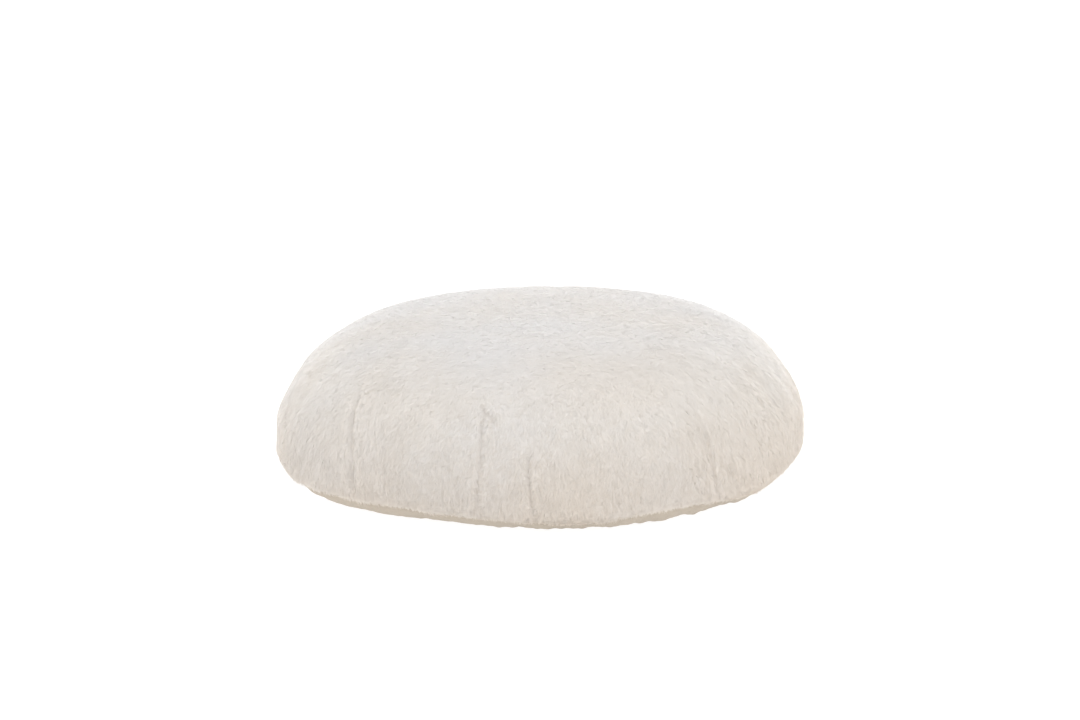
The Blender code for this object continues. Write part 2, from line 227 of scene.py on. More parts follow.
def slide(angle, length):
    """Lengths with the base seam drawn up the wall where it rides high: it isn't quite level."""
    side = from_front(angle)
    rise = (0.0085 * hump(side, 27.0, 12.0) + 0.0090 * hump(side, -40.0, 26.0)
            - 0.0075 * hump(side, 7.0, 8.0) - 0.0030 * hump(side, 58.0, 12.0))
    return length - rise * hump(length, BASE_SEAM, 0.024)


class Crease:
    """A fold down the side wall, through (degrees from the front, height) points.

    A shallow valley lies on one side of its line and a soft ridge on the other, both in
    millimetres, as is the width of the line itself. The shade is how much painted shade darkens
    its roots.
    """

    def __init__(self, points, valley, valley_width, ridge, ridge_width, shade, line=1.0):
        self.path = np.array([(FRONT + math.radians(side), COVER.length_at_height(height))
                              for side, height in points])
        self.valley, self.valley_width = valley * MM, valley_width * MM
        self.ridge, self.ridge_width = ridge * MM, ridge_width * MM
        self.shade, self.line = shade, line * MM

    def across(self, angle, length):
        """The signed distance from the line, plus to the right, and how far along it a point is."""
        flat = np.stack(np.broadcast_arrays(
            (turned_from(angle, FRONT) + FRONT) * RADIUS, length), -1)
        path = self.path * np.array((RADIUS, 1.0))
        best = np.full(flat.shape[:-1], 1e9)
        signed = np.zeros_like(best)
        fade = np.zeros_like(best)
        runs = np.linalg.norm(np.diff(path, axis=0), axis=1)
        before = 0.0
        for start, end, run in zip(path, path[1:], runs):
            along = (end - start) / run
            share = np.clip((flat - start) @ along / run, 0.0, 1.0)
            gap = flat - start - share[..., None] * run * along
            distance = np.linalg.norm(gap, axis=-1)
            closer = distance < best
            side = np.sign(gap[..., 0] * along[1] - gap[..., 1] * along[0])
            best = np.where(closer, distance, best)
            signed = np.where(closer, distance * side, signed)
            whole = (before + share * run) / runs.sum()
            ends = smooth_step(whole, 0.0, 0.22) * (1.0 - smooth_step(whole, 0.90, 1.0) * 0.6)
            fade = np.where(closer, ends, fade)
            before += run
        return signed, fade

    def rise(self, angle, length):
        """How far the cloth stands out (plus) or sinks (minus)."""
        signed, fade = self.across(angle, length)
        valley = hump(signed, -0.4 * self.valley_width, self.valley_width)
        ridge = hump(signed, 1.6 * self.ridge_width, self.ridge_width)
        return fade * (self.ridge * ridge - self.valley * valley)


CREASES = (
    Crease([(-50.5, 0.118), (-47.5, 0.106), (-46.6, 0.097), (-45.0, 0.083), (-43.5, 0.067),
            (-42.5, 0.050), (-41.5, 0.024)], 3.4, 3.4, 2.0, 8.0, 0.80, 1.2),
    Crease([(-13.4, 0.113), (-13.0, 0.104), (-12.5, 0.089), (-12.5, 0.060), (-12.6, 0.030)],
           1.5, 2.4, 0.5, 5.0, 0.60, 2.0),
    Crease([(-14.2, 0.115), (-12.5, 0.110), (-10.3, 0.104)],
           2.0, 3.0, 0.3, 4.0, 0.70, 2.1),
    Crease([(-2.0, 0.088), (-2.0, 0.077), (-2.5, 0.065), (-2.0, 0.050), (-1.5, 0.035),
            (-1.3, 0.018)], 2.0, 2.2, 0.7, 5.0, 0.80, 1.2),
    Crease([(39.5, 0.084), (38.5, 0.065), (38.3, 0.049), (37.5, 0.024)],
           1.2, 2.6, 0.6, 6.0, 0.38, 1.3),
    Crease([(33.6, 0.060), (34.2, 0.042)], 2.0, 2.8, 0.0, 5.0, 0.45),
    Crease([(93.0, 0.088), (95.5, 0.060), (94.0, 0.024)],
           1.6, 3.0, 0.8, 7.0, 0.45),
    Crease([(-101.0, 0.096), (-98.0, 0.070), (-99.5, 0.026)],
           1.8, 3.0, 0.8, 7.0, 0.45),
    Crease([(154.0, 0.108), (156.0, 0.090), (155.0, 0.070)],
           1.6, 3.2, 0.8, 7.0, 0.35),
)


def near_zip(angle, length):
    """1 at the zip's line, fading to 0 away from it and past its ends."""
    inside = smooth_step(angle, REAR_RIGHT_JOIN - 0.02, REAR_RIGHT_JOIN + 0.02) * (
        fall(angle, REAR_LEFT_JOIN - 0.02, REAR_LEFT_JOIN + 0.02))
    return inside * fall(np.abs(length - ZIP_LINE), 0.0058, 0.0105)


# ---- cloth simulation

SIM_COLUMNS = 240
SIM_ROWS = 58
SIM_FRAMES = 20
SIM_CAP = 0.005
SIM_GAP = 0.002
LEAST_HOLD = 0.01
SMOOTHINGS = 3
SIM_SETTINGS = dict(vertex_group_mass="held", quality=6, mass=0.25, tension_stiffness=12.0,
                    compression_stiffness=12.0, shear_stiffness=4.0, bending_stiffness=0.25,
                    air_damping=2.0, use_pressure=True, uniform_pressure_force=4.0,
                    shrink_min=-0.045)


def put_in_scene(name, data):
    obj = bpy.data.objects.new(name, data)
    bpy.context.scene.collection.objects.link(obj)
    return obj


def grid_faces(columns, rows, wraps=True):
    """Quads over a grid of columns x rows, with the outside facing out."""
    i = np.arange(columns if wraps else columns - 1)[:, None]
    j = np.arange(rows - 1)[None, :]
    k = (i + 1) % columns
    corners = [i * rows + j, i * rows + j + 1, k * rows + j + 1, k * rows + j]
    return np.stack(corners, -1).reshape(-1, 4)


def mesh_of(name, vertices, *face_sets):
    """A mesh from an array of vertices and arrays of faces."""
    mesh = bpy.data.meshes.new(name)
    mesh.vertices.add(len(vertices))
    mesh.vertices.foreach_set("co", np.ascontiguousarray(vertices, np.float32).ravel())
    loops = np.concatenate([faces.ravel() for faces in face_sets]).astype(np.int32)
    sizes = np.concatenate([np.full(len(faces), faces.shape[1]) for faces in face_sets])
    starts = np.append(0, np.cumsum(sizes)[:-1]).astype(np.int32)
    mesh.loops.add(len(loops))
    mesh.loops.foreach_set("vertex_index", loops)
    mesh.polygons.add(len(sizes))
    mesh.polygons.foreach_set("loop_start", starts)
    mesh.polygons.foreach_set("use_smooth", np.ones(len(sizes), bool))
    mesh.update(calc_edges=True)
    return mesh


def simulate_cover():
    """Blows the cover up from inside with its seams held, and returns how each point moved."""
    angle = np.linspace(0.0, FULL_TURN, SIM_COLUMNS, endpoint=False)[:, None]
    length = np.linspace(0.0, COVER.foot, SIM_ROWS)[None, :]
    start = COVER.place(angle, length, SKIN_DEPTH + SIM_GAP)
    index = np.arange(SIM_COLUMNS * SIM_ROWS).reshape(SIM_COLUMNS, SIM_ROWS)
    index[:, 0] = 0
    quads = index.ravel()[grid_faces(SIM_COLUMNS, SIM_ROWS)]
    crown = quads[:, 0] == quads[:, 3]
    mesh = mesh_of("sim_cover", start.reshape(-1, 3), quads[~crown], quads[crown][:, :3])
    obj = put_in_scene("sim_cover", mesh)

    seam = fall(np.abs(length - BASE_SEAM), 0.004, 0.010)
    foot = smooth_step(length, BASE_SEAM - 0.002, BASE_SEAM + 0.002)
    top = 0.35 * fall(np.abs(length - TOP_SEAM), 0.004, 0.010)
    wall = smooth_step(length, TOP_SEAM - 0.004, TOP_SEAM + 0.004)
    hold = np.maximum(np.maximum(seam, foot), top) * np.ones_like(angle)
    for join in (FRONT_LEFT_JOIN, FRONT_RIGHT_JOIN, REAR_RIGHT_JOIN, REAR_LEFT_JOIN):
        away = np.abs(turned_from(angle, join)) * RADIUS
        hold = np.maximum(hold, wall * fall(away, 0.003, 0.009))
    hold = np.maximum(hold, near_zip(angle, length))
    group = obj.vertex_groups.new(name="held")
    for vertex, weight in zip(index.ravel().tolist(), hold.ravel().tolist()):
        if weight > LEAST_HOLD:
            group.add([vertex], weight, "REPLACE")

    cloth = obj.modifiers.new("cloth", "CLOTH")
    for key, value in SIM_SETTINGS.items():
        setattr(cloth.settings, key, value)
    cloth.settings.effector_weights.gravity = 0.0
    cloth.point_cache.frame_start = 1
    cloth.point_cache.frame_end = SIM_FRAMES
    scene = bpy.context.scene
    for number in range(1, SIM_FRAMES + 1):
        scene.frame_set(number)
    solved = obj.evaluated_get(bpy.context.evaluated_depsgraph_get()).data
    places = np.empty(len(solved.vertices) * 3, np.float32)
    solved.vertices.foreach_get("co", places)
    moved = places.reshape(-1, 3)[index.ravel()].reshape(start.shape) - start
    scene.frame_set(1)
    bpy.data.objects.remove(obj)

    # The outline stays as the CAD has it, so what the whole ring does together is taken out
    outward = COVER.outward(angle, length)
    rise = (moved * outward).sum(-1)
    moved = moved - outward * rise.mean(0)[None, :, None]
    size = np.linalg.norm(moved, axis=-1, keepdims=True)
    moved = moved * np.minimum(1.0, SIM_CAP / np.maximum(size, 1e-9))
    # Soft padding rounds off the sharp wrinkles that bare cloth would make
    for _ in range(SMOOTHINGS):
        moved = (np.roll(moved, 1, 0) + 2.0 * moved + np.roll(moved, -1, 0)) / 4.0
        moved[:, 1:-1] = (moved[:, :-2] + 2.0 * moved[:, 1:-1] + moved[:, 2:]) / 4.0
    return moved * smooth_step(length, 0.12, 0.25)[..., None]


def spread_out(field):
    """The simulated field, read at every point of the fine grid."""
    columns = np.arange(COLUMNS) * SIM_COLUMNS / COLUMNS
    rows = np.linspace(0.0, SIM_ROWS - 1, ROWS)
    wide = catmull_rom(field, columns, wraps=True)
    return np.moveaxis(catmull_rom(np.moveaxis(wide, 1, 0), rows, wraps=False), 0, 1)


# ---- the cover's own surface

class Surface:
    """A grid of points over angles and lengths, read between its points."""

    def __init__(self, points, total):
        self.points, self.total = points, total
        around = np.roll(points, -1, 0) - np.roll(points, 1, 0)
        down = np.gradient(points, axis=1)
        around[:, 0] = around[:, 1]
        self.down = unit(down)
        self.normals = unit(np.cross(down, around))
        self.normals[:, 0] = unit(self.normals[:, 1].mean(0))

    def read(self, grid, angle, length):
        columns, rows = grid.shape[:2]
        x = (np.asarray(angle) % FULL_TURN) / FULL_TURN * columns
        y = np.clip(np.asarray(length) / self.total, 0.0, 1.0) * (rows - 1)
        x, y = np.broadcast_arrays(x, y)
        i, j = np.floor(x).astype(int), np.minimum(np.floor(y).astype(int), rows - 2)
        u, v = (x - i)[..., None], (y - j)[..., None]
        i, k = i % columns, (i + 1) % columns
        return ((grid[i, j] * (1 - u) + grid[k, j] * u) * (1 - v)
                + (grid[i, j + 1] * (1 - u) + grid[k, j + 1] * u) * v)

    def point(self, angle, length):
        return self.read(self.points, angle, length)

    def normal(self, angle, length):
        return unit(self.read(self.normals, angle, length))

    def downhill(self, angle, length):
        return unit(self.read(self.down, angle, length))


def make_surface():
    """The cover as it lies: the outline, its folds and dents, and what the simulation adds."""
    angle = np.linspace(0.0, FULL_TURN, COLUMNS, endpoint=False)[:, None]
    length = np.linspace(0.0, COVER.foot, ROWS)[None, :]
    outline = COVER.place(angle, length)
    lumps = 0.9 * MM * noise_at(outline, 11.0, 3.0) + 0.35 * MM * noise_at(outline, 31.0, 8.0)
    rise = lumps * smooth_step(length, 0.0, 0.03)
    wall = smooth_step(length, TOP_SEAM - 0.004, TOP_SEAM + 0.01)
    for crease in CREASES:
        rise = rise + crease.rise(angle, length)
    shoulder = hump(length, 0.205, 0.045)
    rise = rise - 1.2 * MM * hump(length, 0.262, 0.030)
    side = from_front(angle)
    rise = rise + shoulder * MM * (3.2 * hump(side, 82.0, 34.0) + 0.6 * hump(side, -80.0, 34.0))
    crown = hump(length, 0.150, 0.045)
    rise = rise + crown * MM * (2.2 * hump(side, 96.0, 42.0) + 2.4 * hump(side, -88.0, 45.0))
    rise = rise + 1.5 * MM * fall(length, 0.13, 0.22)
    for join in (FRONT_RIGHT_JOIN, REAR_RIGHT_JOIN, REAR_LEFT_JOIN):
        away = turned_from(angle, join) * RADIUS
        rise = rise - SEAM_DIP * hump(away, 0.0, 0.0035) * wall
    rise = rise + 0.9 * MM * hump(length, BASE_SEAM - 0.014, 0.009)
    depth = SKIN_DEPTH - rise
    depth = depth + (0.0083 - depth) * near_zip(angle, length)
    slope = smooth_step(length, BASE_SEAM - 0.006, BASE_SEAM)
    depth = depth + (0.0050 - depth) * slope
    moved = simulate_cover()
    moved = spread_out(moved)
    outward = COVER.outward(angle, length)
    still = fall(length, BASE_SEAM - 0.012, BASE_SEAM)
    still = still * (1.0 - near_zip(angle, length))
    swell = (moved * outward).sum(-1) * still
    drift = (moved - outward * (moved * outward).sum(-1, keepdims=True)) * still[..., None]
    deepest = DEEPEST_SIDE + (DEEPEST_CROWN - DEEPEST_SIDE) * fall(length, 0.12, 0.22)
    depth = np.minimum(depth - swell, deepest)
    return Surface(slouch(COVER.place(angle, slide(angle, length), depth) + drift), COVER.foot)


SKIN = make_surface()


# ---- materials

class Nodes:
    """A Principled material, and short ways to add and join its nodes."""

    def __init__(self, name, colour, roughness, **sockets):
        """The constant values are set straight on the shader's sockets."""
        self.material = bpy.data.materials.new(name)
        self.material.use_nodes = True
        self.tree = self.material.node_tree
        self.shader = self.tree.nodes["Principled BSDF"]
        self.colour(colour)
        self.put(self.shader.inputs["Roughness"], roughness)
        for label, value in sockets.items():
            self.put(self.shader.inputs[label.replace("_", " ")], value)

    def add(self, kind, inputs=(), **settings):
        node = self.tree.nodes.new(kind)
        for key, value in settings.items():
            setattr(node, key, value)
        for key, value in dict(inputs).items():
            self.put(node.inputs[key], value)
        return node

    def put(self, socket, value):
        if isinstance(value, bpy.types.NodeSocket):
            self.tree.links.new(value, socket)
        elif isinstance(value, tuple):
            socket.default_value = (*value, 1.0)
        else:
            socket.default_value = value

    def math(self, operation, first, second=0.0):
        return self.add("ShaderNodeMath", {0: first, 1: second}, operation=operation).outputs[0]

    def mix(self, share, first, second, blend="MIX"):
        node = self.add("ShaderNodeMix", data_type="RGBA", blend_type=blend)
        for socket, value in ((0, share), (6, first), (7, second)):
            self.put(node.inputs[socket], value)
        return node.outputs[2]

    def tinted(self, share, colour, tint):
        return self.mix(share, colour, self.mix(1.0, colour, tint, "MULTIPLY"))

    def wave(self, value, pitch):
        return self.math("SINE", self.math("MULTIPLY", value, FULL_TURN / pitch))

    def weighed(self, first, share, second, other_share):
        return self.math("ADD", self.math("MULTIPLY", first, share),
                         self.math("MULTIPLY", second, other_share))

    def half(self, value):
        """A wave from -1 to 1, brought to 0 to 1."""
        return self.math("ADD", self.math("MULTIPLY", value, 0.5), 0.5)

    def coords(self):
        return self.add("ShaderNodeTexCoord").outputs["Object"]

    def xyz(self):
        return self.add("ShaderNodeSeparateXYZ", {0: self.coords()}).outputs

    def place(self, scale, detail=2.0, distortion=0.0):
        """Noise over the object's own space."""
        return self.add("ShaderNodeTexNoise", {"Vector": self.coords(), "Scale": scale,
                                               "Detail": detail, "Distortion": distortion}
                        ).outputs["Fac"]

    def spread(self, value, low, high):
        return self.add("ShaderNodeMapRange", {"Value": value, "From Min": low, "From Max": high}
                        ).outputs["Result"]

    def attribute(self, name):
        node = self.add("ShaderNodeAttribute", attribute_name=name)
        return self.add("ShaderNodeSeparateXYZ", {0: node.outputs["Vector"]}).outputs

    def colour(self, value):
        self.put(self.shader.inputs["Base Color"], value)

    def rough(self, value, low, high):
        self.put(self.shader.inputs["Roughness"],
                 self.add("ShaderNodeMapRange", {"Value": value, "To Min": low, "To Max": high}
                          ).outputs["Result"])

    def bump(self, height, strength, distance):
        node = self.add("ShaderNodeBump", {"Height": height, "Strength": strength,
                                           "Distance": distance})
        self.put(self.shader.inputs["Normal"], node.outputs["Normal"])


# The roots' colour is lighter than the tips' as painted light
PILE_LIT_ROOT = (0.985, 0.97, 0.945)
PILE_LOW = (0.80, 0.757, 0.695)
PILE_COOL = (0.918, 0.904, 0.882)
PILE_WARM = (0.918, 0.890, 0.848)
# The next four colours are painted: shade towards the floor, shade at it, light over the crown,
# shade in the folds
PILE_LOW_SHADE = (0.965, 0.94, 0.912)
PILE_FLOOR_SHADE = (0.82, 0.765, 0.70)
PILE_CROWN_LIGHT = (0.970, 0.973, 0.980)
PILE_FOLD_SHADE = (0.52, 0.42, 0.31)


def pile_material():
    """Cream pile: lighter at the roots as painted light, but darker and warmer at the roots along
    the folds by painted shade; painted shade darker towards the floor, a painted cool tint of light
    over the crown, and strands and broad areas that differ.
    """
    nodes = Nodes("plush_pile", PILE_WARM, 0.95, Specular_IOR_Level=0.08)
    along, pick, shade = nodes.attribute("strand")
    broad = nodes.spread(nodes.place(7.0), 0.38, 0.64)
    tip = nodes.mix(broad, PILE_COOL, PILE_WARM)
    tip = nodes.mix(nodes.math("MULTIPLY", nodes.math("POWER", pick, 2.0), 0.85), tip, PILE_LOW)
    # Roots lighter than the tips: painted light that offsets the shade down among the strands
    stem = nodes.mix(nodes.spread(along, 0.0, 0.75), PILE_LIT_ROOT, tip)
    height = nodes.xyz()[2]
    # Painted shade: darker towards the floor and darker still at it; painted light: a cooler,
    # slightly darker tint over the crown
    for tint, start, end in ((PILE_LOW_SHADE, 0.095, 0.02), (PILE_FLOOR_SHADE, 0.022, 0.002),
                             (PILE_CROWN_LIGHT, 0.118, 0.145)):
        stem = nodes.tinted(nodes.spread(height, start, end), stem, tint)
    # Painted shade at the roots along the folds
    colour = nodes.mix(shade, stem, PILE_FOLD_SHADE)
    nodes.colour(colour)
    # Light comes through a strand as well as off it, so both of its sides look alike
    through = nodes.add("ShaderNodeBsdfTranslucent", {"Color": colour}).outputs[0]
    both = nodes.add("ShaderNodeMixShader", {0: 0.5})
    nodes.put(both.inputs[1], nodes.shader.outputs[0])
    nodes.put(both.inputs[2], through)
    nodes.put(nodes.tree.nodes["Material Output"].inputs["Surface"], both.outputs[0])
    return nodes.material


def weave_material(name, colour, shadow, pitch, strength, roughness=0.85, foot=None, **sockets):
    """Plain weave over the cloth's own metres: threads pass over and under each other. The cloth
    is darkened by foot, a painted shade, where it meets the floor."""
    nodes = Nodes(name, colour, roughness, **sockets)
    along, down, _ = nodes.attribute("cloth")
    over = nodes.math("MULTIPLY", nodes.wave(along, pitch), nodes.wave(down, pitch))
    slub = nodes.place(900.0, 3.0)
    level = nodes.weighed(nodes.half(over), 0.75, slub, 0.5)
    cloth = nodes.mix(nodes.spread(level, 0.1, 0.9), shadow, colour)
    # Painted shade: darker where the cloth meets the floor
    if foot:
        cloth = nodes.tinted(nodes.spread(nodes.xyz()[2], 0.007, 0.001), cloth, foot)
    nodes.colour(cloth)
    nodes.rough(level, roughness, roughness - 0.12)
    nodes.bump(level, strength, pitch * 0.5)
    return nodes.material


RIB_PITCH, LOOP_PITCH = 0.0013, 0.0010


def knit_material():
    """The plush's knitted backing: fine ribs of loops."""
    nodes = Nodes("plush_backing", (0.72, 0.66, 0.57), 0.95)
    along, down, _ = nodes.attribute("cloth")
    wobble = nodes.math("ABSOLUTE", nodes.wave(along, RIB_PITCH))
    loop = nodes.math("SINE", nodes.weighed(down, FULL_TURN / LOOP_PITCH, wobble, 2.2))
    level = nodes.weighed(loop, 0.35, wobble, 0.6)
    ribs = nodes.mix(nodes.spread(level, -0.3, 0.9), (0.84, 0.79, 0.72), (0.94, 0.91, 0.86))
    # Painted shade: the cut edge that is turned in beside the zip is darkened, as if it never got
    # the light
    _, depth, height = nodes.xyz()
    away = nodes.math("ABSOLUTE", nodes.math("SUBTRACT", height, ZIP_HEIGHT))
    edge = nodes.math("MULTIPLY", nodes.spread(away, 0.016, 0.010), nodes.spread(depth, 0.08, 0.10))
    nodes.colour(nodes.tinted(edge, ribs, (0.62, 0.56, 0.48)))
    nodes.bump(level, 0.5, 0.0004)
    return nodes.material


def thread_material(name, colour, dark, pitch):
    """Twisted thread: plies wind round it."""
    nodes = Nodes(name, colour, 0.6, Sheen_Weight=0.2)
    along, across, _ = nodes.attribute("cloth")
    turns = nodes.weighed(along, FULL_TURN / pitch, across, FULL_TURN)
    level = nodes.half(nodes.math("SINE", turns))
    nodes.colour(nodes.mix(level, dark, colour))
    nodes.bump(level, 0.4, 0.0002)
    return nodes.material


def fibre_material():
    """Loose polyester fibre: matted, uneven and very pale."""
    nodes = Nodes("fibre", (0.93, 0.93, 0.92), 0.95, Sheen_Weight=0.3)
    level = nodes.weighed(nodes.place(260.0, 6.0, 2.2), 0.6, nodes.place(38.0, 3.0), 0.6)
    nodes.colour(nodes.mix(nodes.spread(level, 0.35, 0.8), (0.80, 0.80, 0.79), (0.95, 0.95, 0.94)))
    nodes.bump(level, 0.8, 0.0015)
    return nodes.material


def metal_material():
    """Plated zip metal. Its rubbed tint is meant for the edges, but covers the pieces whole."""
    nodes = Nodes("zip_metal", (0.42, 0.415, 0.40), 0.32, Metallic=1.0)
    grain = nodes.place(2600.0, 4.0)
    cloud = nodes.place(240.0, 3.0)
    edge = nodes.add("ShaderNodeNewGeometry").outputs["Pointiness"]
    rubbed = nodes.spread(edge, 0.50, 0.58)
    worn = nodes.mix(cloud, (0.36, 0.355, 0.345), (0.47, 0.465, 0.45))
    nodes.colour(nodes.mix(rubbed, worn, (0.58, 0.575, 0.56)))
    nodes.rough(cloud, 0.26, 0.44)
    nodes.bump(grain, 0.12, 0.00008)
    return nodes.material


def coil_material():
    """Nylon coil: a little cloudy, with a soft shine."""
    nodes = Nodes("zip_coil", (0.82, 0.78, 0.71), 0.35)
    cloud = nodes.place(420.0, 2.0)
    nodes.colour(nodes.mix(cloud, (0.72, 0.68, 0.60), (0.86, 0.83, 0.76)))
    nodes.rough(cloud, 0.28, 0.46)
    return nodes.material


PILE = pile_material()
KNIT = knit_material()
# The canvas's dark tan is partly its own colour and partly painted shade for the strip under the
# pile's edge
CANVAS = weave_material("base_canvas", (0.53, 0.465, 0.385), (0.385, 0.325, 0.255), 0.0011, 0.6,
                        foot=(0.80, 0.77, 0.72))
CASING_CLOTH = weave_material("casing_cotton", (0.90, 0.895, 0.88), (0.76, 0.75, 0.73), 0.0007, 0.4)
TAPE_CLOTH = weave_material("zip_tape_weave", (0.84, 0.80, 0.73), (0.66, 0.61, 0.53), 0.0006, 0.5)
SATIN = weave_material("label_satin", (0.74, 0.72, 0.67), (0.64, 0.61, 0.56), 0.00035, 0.25, 0.42,
                       Sheen_Weight=0.3)
THREAD = thread_material("seam_thread", (0.86, 0.82, 0.74), (0.66, 0.60, 0.51), 0.0009)
FIBRE = fibre_material()
METAL = metal_material()
COIL = coil_material()


# ---- building pieces

TUBE_SIDES = 6


def show(mesh, material, stands_for=()):
    """A shown piece of the cushion, with its finish and what it stands for."""
    obj = put_in_scene(mesh.name, mesh)
    mesh.materials.append(material)
    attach(obj, "cushion")
    if stands_for:
        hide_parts(*stands_for)
    return obj


def tube_faces(stations, sides=TUBE_SIDES):
    """Quads round a tube of six-sided rings, and over both of its ends."""
    i = np.arange(stations - 1)[:, None] * sides
    j = np.arange(sides)[None, :]
    k = (j + 1) % sides
    faces = np.stack([i + j, i + k, i + k + sides, i + j + sides], -1).reshape(-1, 4)
    cap = np.array([(0, 3, 2, 1), (0, 5, 4, 3)])
    return np.concatenate([faces, cap, cap[:, ::-1] + (stations - 1) * sides])


def write_attribute(mesh, name, values):
    attribute = mesh.attributes.new(name, "FLOAT_VECTOR", "POINT")
    attribute.data.foreach_set("vector", np.ascontiguousarray(values, np.float32).ravel())


def welded(name, vertices, faces, join, cloth):
    """A mesh of quads after some vertices are joined: quads that lose a side become triangles."""
    used, faces = np.unique(join[faces], return_inverse=True)
    faces = faces.reshape(-1, 4)
    same = [faces[:, k] == faces[:, (k + 1) % 4] for k in range(4)]
    lost = np.sum(same, axis=0)
    parts = [faces[lost == 0]]
    for k in range(4):
        keep = [c for c in range(4) if c != k]
        parts.append(faces[(lost == 1) & same[k]][:, keep])
    mesh = mesh_of(name, vertices[used], *[part for part in parts if len(part)])
    write_attribute(mesh, "cloth", cloth[used])
    return mesh


def cloth_piece(name, outer, thickness, normals, metres, wraps=False, first_is_point=False,
                last_is_point=False):
    """A sheet of cloth with its own thickness, from a grid of points on its outer face."""
    columns, rows = outer.shape[:2]
    count = columns * rows
    face = grid_faces(columns, rows, wraps)
    sets = [face, face[:, ::-1] + count]
    index = np.arange(count).reshape(columns, rows)
    rims = []
    if not first_is_point:
        rims.append(index[:, 0][::-1])
    if not last_is_point:
        rims.append(index[:, -1])
    rims = [np.append(rim, rim[0]) if wraps else rim for rim in rims]
    if not wraps:
        rims += [index[0], index[-1][::-1]]
    for rim in rims:
        sets.append(np.stack([rim[:-1], rim[:-1] + count, rim[1:] + count, rim[1:]], -1))
    join = np.arange(2 * count)
    for point, is_point in ((0, first_is_point), (-1, last_is_point)):
        if is_point:
            join[index[:, point]] = index[0, point]
            join[index[:, point] + count] = index[0, point] + count
    vertices = np.concatenate([outer.reshape(-1, 3), (outer - normals * thickness).reshape(-1, 3)])
    cloth = np.concatenate([metres.reshape(-1, 3)] * 2)
    return welded(name, vertices, np.concatenate(sets), join, cloth)


def grid_normals(points, wraps):
    """Outward normals of a grid of points."""
    if wraps:
        around = np.roll(points, -1, 0) - np.roll(points, 1, 0)
    else:
        around = np.gradient(points, axis=0)
    for row, near in ((0, 1), (-1, -2)):
        flat = np.linalg.norm(around[:, row], axis=-1).max() < 1e-6
        if flat:
            around[:, row] = around[:, near]
    return unit(np.cross(np.gradient(points, axis=1), around))


def turned_grid(columns, lengths):
    """Angles once round the cushion, at each of some lengths."""
    around = np.linspace(0.0, FULL_TURN, columns, endpoint=False)
    return np.meshgrid(around, lengths, indexing="ij")


def rows_to_centre(outline, start, rows, floor_rows):
    """Lengths down an outline to its foot, and on to the centre of its underside."""
    return np.concatenate([np.linspace(start, outline.foot, rows),
                           np.linspace(outline.foot, outline.total, floor_rows)[1:]])


def strip_grid(start, end, top, bottom, column_width, row_height):
    """Angles and lengths over a part of the cover."""
    middle = COVER.radius((top + bottom) / 2.0)
    columns = max(3, round((end - start) * middle / column_width) + 1)
    rows = max(3, round((bottom - top) / row_height) + 1)
    return np.meshgrid(np.linspace(start, end, columns), np.linspace(top, bottom, rows),
                       indexing="ij")


def cloth_metres(angle, length):
    """Where points lie on the cloth, in metres along it and down it."""
    return np.stack([angle * RADIUS, length, np.zeros_like(length)], -1)


# ---- pile

PILE_EDGE = 0.0002
ROW_PACKING = 0.87
ROOT_DEPTH = 0.0004
LOWEST_STRAND = 0.0006
STATIONS = (0.0, 0.5, 1.0)
STRAND_CORNERS = 5
MIDDLE_WIDTH = 0.85
ROUNDED = 0.30
COMB_OVER = np.array((0.10, -1.0, 0.0))


def comb_direction(length, points, normals, downhill):
    """Which way the pile lies: forward over the top, down the side wall, and brushed about."""
    forward = unit(COMB_OVER - normals * (normals @ COMB_OVER)[:, None])
    side_wall = smooth_step(length, 0.13, 0.225)[:, None]
    outward = smooth_step(length, 0.02, 0.13)[:, None]
    top = unit(forward * (1.0 - 0.85 * outward) + downhill * 0.95 * outward)
    comb = unit(top * (1.0 - side_wall) + downhill * side_wall)
    sideways = np.cross(normals, comb)
    swirl = (0.40 * noise_at(points, 17.0, 1.7) + 0.40 * noise_at(points, 47.0, 5.1)
             + 0.40 * noise_at(points, 120.0, 9.4))
    return unit(comb * np.cos(swirl)[:, None] + sideways * np.sin(swirl)[:, None])


def plant_clumps(rng, start, end, top, bottom):
    """Where the clumps stand: in uneven rows over a part of the cover."""
    angles, lengths = [], []
    for row in np.arange(top + PILE_EDGE, bottom - PILE_EDGE, CLUMP_SPACING * ROW_PACKING):
        ring = max(COVER.radius(row), CLUMP_SPACING)
        count = max(1, round((end - start) * ring / CLUMP_SPACING))
        spots = (np.arange(count) + 0.5 + rng.uniform(-0.45, 0.45, count)) / count
        angles.append(start + (end - start) * spots)
        lengths.append(row + rng.uniform(-0.45, 0.45, count) * CLUMP_SPACING)
    return (np.concatenate(angles),
            np.clip(np.concatenate(lengths), top + PILE_EDGE, bottom - PILE_EDGE))


def part_clumps(angle, length, normals, downhill, comb, long, lean):
    """Combs clumps away from the folds and the zip. Returns how they lie, how long they are, how
    far they lean and how much painted shade darkens their roots."""
    low = smooth_step(length, BASE_SEAM - 0.020, BASE_SEAM)
    shade = np.zeros(len(angle))
    right = unit(np.cross(downhill, normals))
    for crease in CREASES:
        signed, fade = crease.across(angle, length)
        near = fade * hump(signed, 0.0, 0.0030) * (1.0 - 0.9 * low)
        away = np.tanh(signed / (0.8 * crease.line))[:, None] * right
        comb = unit(comb + away * near[:, None] * 0.8)
        tight = fade * hump(signed, -0.3 * crease.line, crease.line)
        long = long * (1.0 - 0.30 * tight)
        shade = np.maximum(shade, crease.shade * tight)
    behind = ((angle % FULL_TURN) > REAR_RIGHT_JOIN) & ((angle % FULL_TURN) < REAR_LEFT_JOIN)
    gap = np.abs(length - ZIP_LINE)
    open_up = np.where(behind, fall(gap, 0.0062, 0.0150), 0.0)
    comb = unit(comb * (1.0 - open_up)[:, None]
                + downhill * (np.sign(length - ZIP_LINE) * open_up * 1.6)[:, None])
    long = long * (1.0 - 0.42 * open_up)
    lean = lean + 0.25 * open_up
    long = long * (1.0 - 0.22 * low)
    sideways = unit(np.cross(normals, comb))
    return np.cross(sideways, normals), sideways, long, lean, shade


